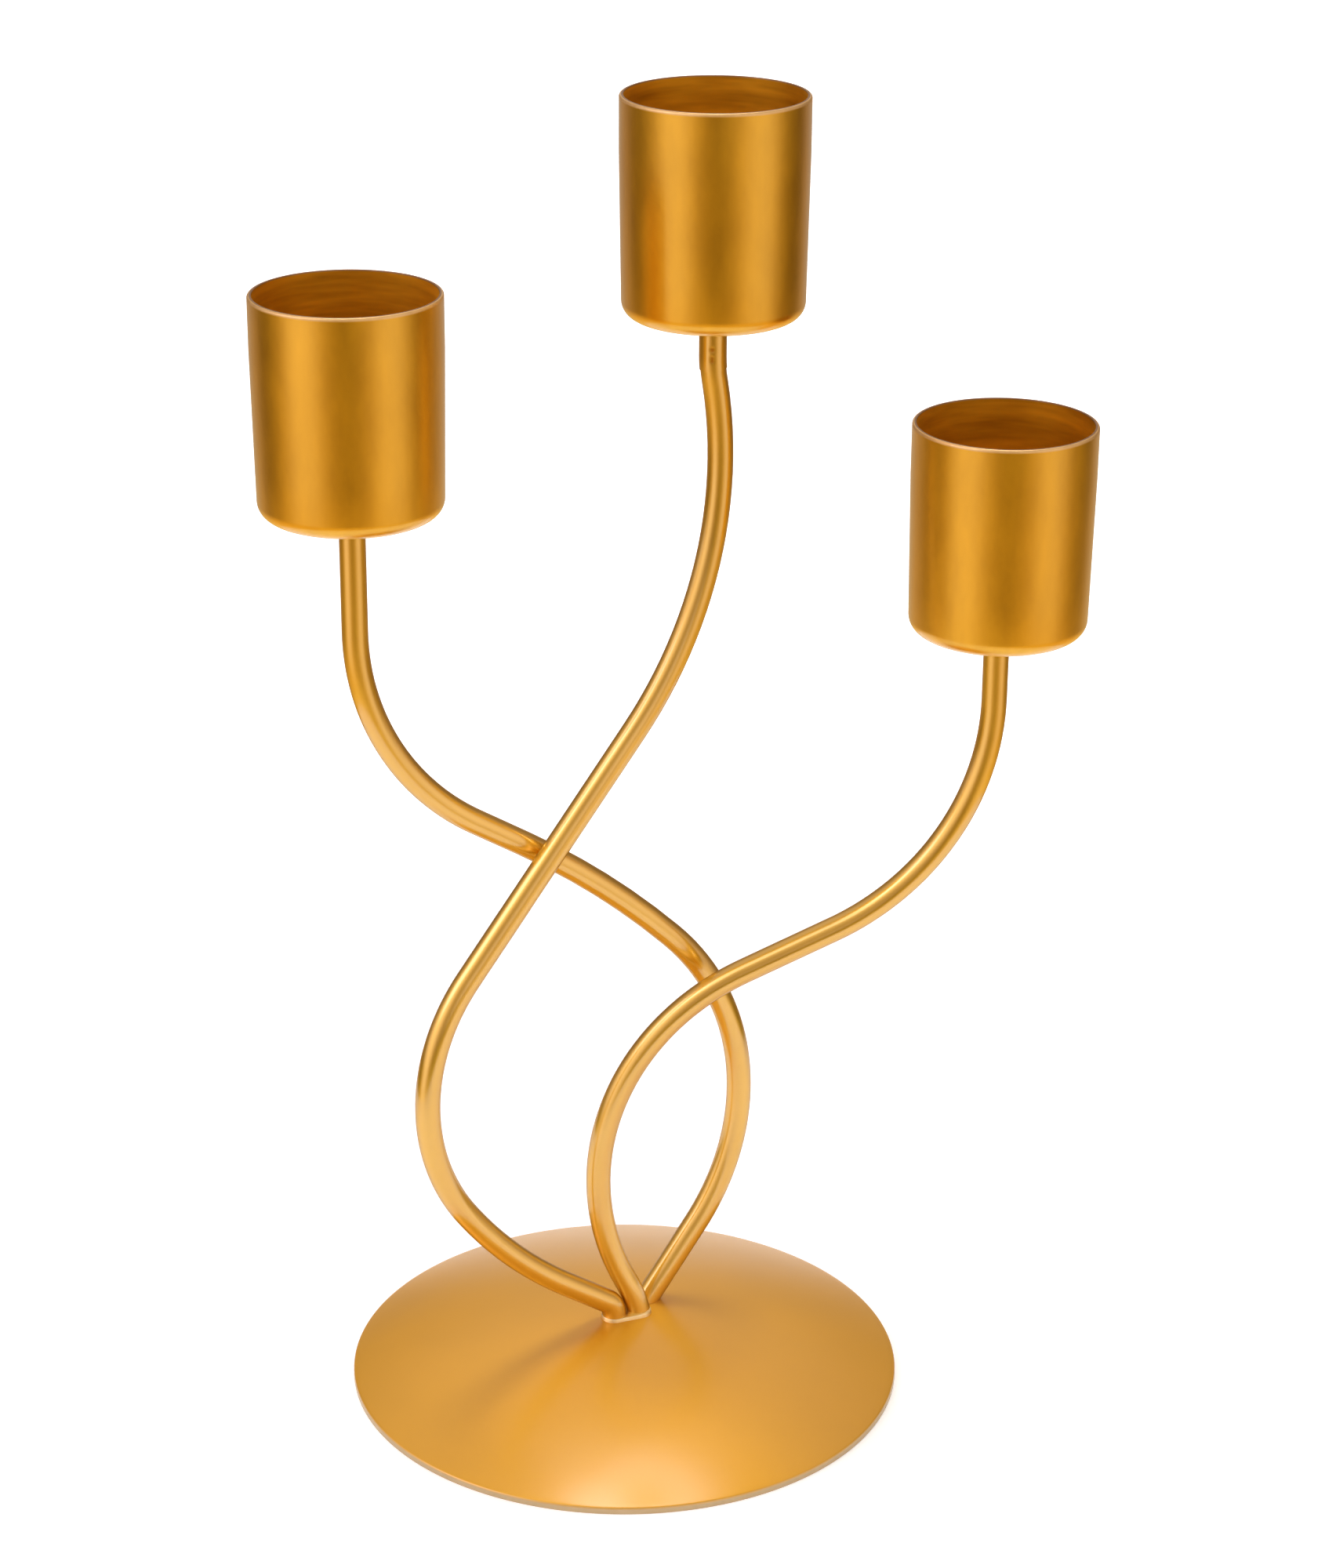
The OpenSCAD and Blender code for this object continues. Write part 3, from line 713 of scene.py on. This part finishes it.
# The studio that the metal reflects. Azimuths are in degrees from the camera's side, to the right.
# The cups show the low bands and the rods the high ones, as rows of (azimuth, level, warmth): two
# bright ranges in front with a dim warm gap between them, dim ranges at both sides and behind.
# The table is below the low bands, the ceiling above the high ones, and the zenith over that
studio = {
    "lowBands": [
        (-180, 0.50, 0.2), (-150, 0.46, 0.5), (-127, 0.40, 0.6), (-115, 0.05, 1), (-93, 0.05, 1),
        (-76, 0.45, 0.7), (-62, 1.15, 0), (-39, 1.22, 0), (-24, 0.50, 0.6), (-6, 0.05, 1),
        (14, 0.05, 1), (31, 0.50, 0.6), (46, 1.00, 0), (68, 1.02, 0), (84, 0.36, 0.7),
        (99, 0.03, 1), (122, 0.03, 1), (134, 0.40, 0.6), (150, 0.46, 0.5), (180, 0.50, 0.2),
    ],
    "highBands": [
        (-180, 0.50, 0.2), (-160, 0.38, 0.4), (-145, 0.20, 0.5), (-125, 0.25, 0.4), (-102, 0.60, 0.2),
        (-84, 1.2, 0), (-66, 1.4, 0), (-48, 1.35, 0), (-33, 1.00, 0.1), (-18, 0.42, 0.3),
        (-3, 0.40, 0.3), (11, 0.90, 0), (26, 1.25, 0), (46, 1.15, 0), (70, 1.25, 0), (88, 0.90, 0.2),
        (104, 0.55, 0.3), (124, 0.25, 0.5), (145, 0.20, 0.5), (160, 0.38, 0.4), (180, 0.50, 0.2),
    ],
    "highFrom": -10, "highTo": -1,
    "white": (1.0, 0.90, 0.80), "warm": (1.0, 0.52, 0.06),
    "table": (1.0, 0.66, 0.14), "tableFrom": -14, "tableTo": -36,
    "ceiling": (0.68, 0.61, 0.55), "ceilingFrom": 20, "ceilingTo": 48,
    "zenith": (0.40, 0.36, 0.32), "zenithFrom": 55, "zenithTo": 75,
    "boxes": {
        "backBox": {"azimuth": 180, "elevation": 51, "inner": 4, "outer": 34, "light": (0.82, 0.73, 0.65)},
        "topBox": {"azimuth": 180, "elevation": 76, "inner": 4, "outer": 14, "light": (8.5, 8.5, 8.5)},
        "leftBox": {"azimuth": -70, "elevation": 30, "inner": 8, "outer": 22, "light": (2.8, 2.55, 3.2)},
    },
    "backdrop": {"azimuth": 180, "elevation": 1, "inner": 2, "outer": 17, "share": 0.8},
}


def makeStudio():
    world = bpy.data.worlds.new("softStudio")
    world.use_nodes = True
    scene.world = world
    tree = world.node_tree
    tree.nodes.clear()
    direction = newNode(tree, "ShaderNodeTexCoord", (-1300, 0)).outputs["Generated"]
    axes = newNode(tree, "ShaderNodeSeparateXYZ", (-1100, 0), {0: direction})
    towards = mathNode(tree, "MULTIPLY", (axes.outputs["Y"], -1.0), (-900, -100))
    azimuth = mathNode(tree, "ARCTAN2", (axes.outputs["X"], towards), (-750, 0))
    aroundShare = rangeNode(tree, azimuth, -pi, pi, (-600, 0))

    def bandLight(rows, place):
        ramp = newNode(tree, "ShaderNodeValToRGB", place, {0: aroundShare})
        ramp.color_ramp.interpolation = "B_SPLINE"
        stops = ramp.color_ramp.elements
        brightest = max(level for degrees, level, warmth in rows)
        for i, (degrees, level, warmth) in enumerate(rows):
            position = (degrees + 180) / 360
            stop = stops[i] if i < 2 else stops.new(position)      # a new ramp has two stops
            stop.position = position
            tones = zip(studio["white"], studio["warm"])
            stop.color = (*[level / brightest * (pale + warmth * (deep - pale)) for pale, deep in tones], 1)
        bands = newNode(tree, "ShaderNodeVectorMath", (place[0] + 300, place[1]),
                        {0: ramp.outputs["Color"], "Scale": brightest}, operation="SCALE")
        return bands.outputs[0]

    # 0 to 1 between two elevations
    def climb(name, place):
        start, end = [sin(radians(studio[name + limit])) for limit in ("From", "To")]
        return rangeNode(tree, axes.outputs["Z"], start, end, place)

    # a round patch of sky, 1 within the inner angle and 0 past the outer one
    def patch(spot, place):
        across, up = radians(spot["azimuth"]), radians(spot["elevation"])
        middle = (sin(across) * cos(up), -cos(across) * cos(up), sin(up))
        off = newNode(tree, "ShaderNodeVectorMath", place, {0: direction, 1: middle}, operation="DOT_PRODUCT")
        return rangeNode(tree, off.outputs["Value"], cos(radians(spot["outer"])), cos(radians(spot["inner"])),
                         (place[0] + 200, place[1]), kind="SMOOTHSTEP")

    low = bandLight(studio["lowBands"], (-400, 0))
    high = bandLight(studio["highBands"], (-400, -300))
    light = mixNode(tree, "RGBA", climb("high", (0, -500)), low, high, (150, 0))
    for i, name in enumerate(("table", "ceiling", "zenith")):
        x = 200 * i
        light = mixNode(tree, "RGBA", climb(name, (x + 200, -300)), light, studio[name], (x + 350, 0))
    for i, box in enumerate(studio["boxes"].values()):
        light = mixNode(tree, "RGBA", patch(box, (400 * i + 700, -600)), light, box["light"],
                        (200 * i + 1000, 0))

    # the camera sees white all round, and the metal sees a share of it where the backdrop stands
    backdrop = studio["backdrop"]
    path = newNode(tree, "ShaderNodeLightPath", (1300, 500))
    stands = mathNode(tree, "MULTIPLY", (patch(backdrop, (1100, 800)), backdrop["share"]), (1500, 600))
    shown = mathNode(tree, "MULTIPLY", (mirrorRays(tree, path, (1450, 400)), stands), (1550, 400))
    white = mathNode(tree, "ADD", (path.outputs["Is Camera Ray"], shown), (1650, 400))
    light = mixNode(tree, "RGBA", white, light, (1, 1, 1), (1800, 0))
    back = newNode(tree, "ShaderNodeBackground", (2000, 0), {"Color": light})
    newNode(tree, "ShaderNodeOutputWorld", (2200, 0), {0: back.outputs[0]})


makeStudio()

# A soft lamp from the upper left gives the floor its shadow
keyLamp = {"place": (-0.55, -0.55, 0.95), "aim": (0, 0, 0.12), "size": 0.5, "power": 1.0}


def makeLamp(name, look):
    data = bpy.data.lights.new(name, "AREA")
    data.shape = "SQUARE"
    data.size = look["size"]
    data.energy = look["power"]
    lamp = bpy.data.objects.new(name, data)
    scene.collection.objects.link(lamp)
    lamp.location = look["place"]
    towardsAim = Vector(look["aim"]) - Vector(look["place"])
    lamp.rotation_euler = towardsAim.to_track_quat("-Z", "Y").to_euler()


makeLamp("keyLamp", keyLamp)
print("studio lit")
